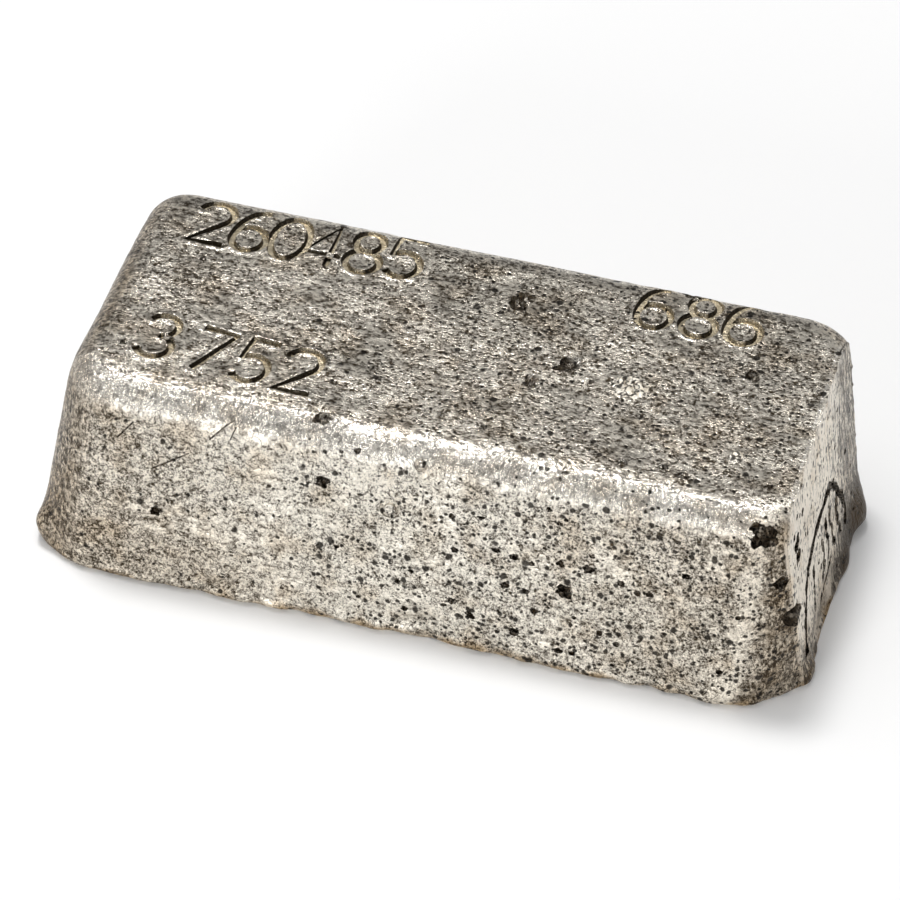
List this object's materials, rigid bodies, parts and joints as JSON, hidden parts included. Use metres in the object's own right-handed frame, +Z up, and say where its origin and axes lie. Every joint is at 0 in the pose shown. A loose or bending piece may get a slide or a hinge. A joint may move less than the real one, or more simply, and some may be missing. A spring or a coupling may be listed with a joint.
{
  "type": "hand-poured silver bar",
  "caption": "Small loaf-shaped cast metal bar with drafted walls, rounded top edges, a flat end and a beaded rim around its wide base.",
  "frame": {"origin": "middle of the wide pour face, at the height of the land that the bar lies on", "axes": "+X along the bar towards its flat end, -Y towards the front long side, +Z up out of the smaller face"},
  "size_m": [0.064, 0.0304, 0.0183],
  "materials": {
    "cast_silver": "cast, pitted and lightly tarnished"
  },
  "bodies": {
    "root": {"silver_bar": "cast_silver"}
  },
  "joints": []
}
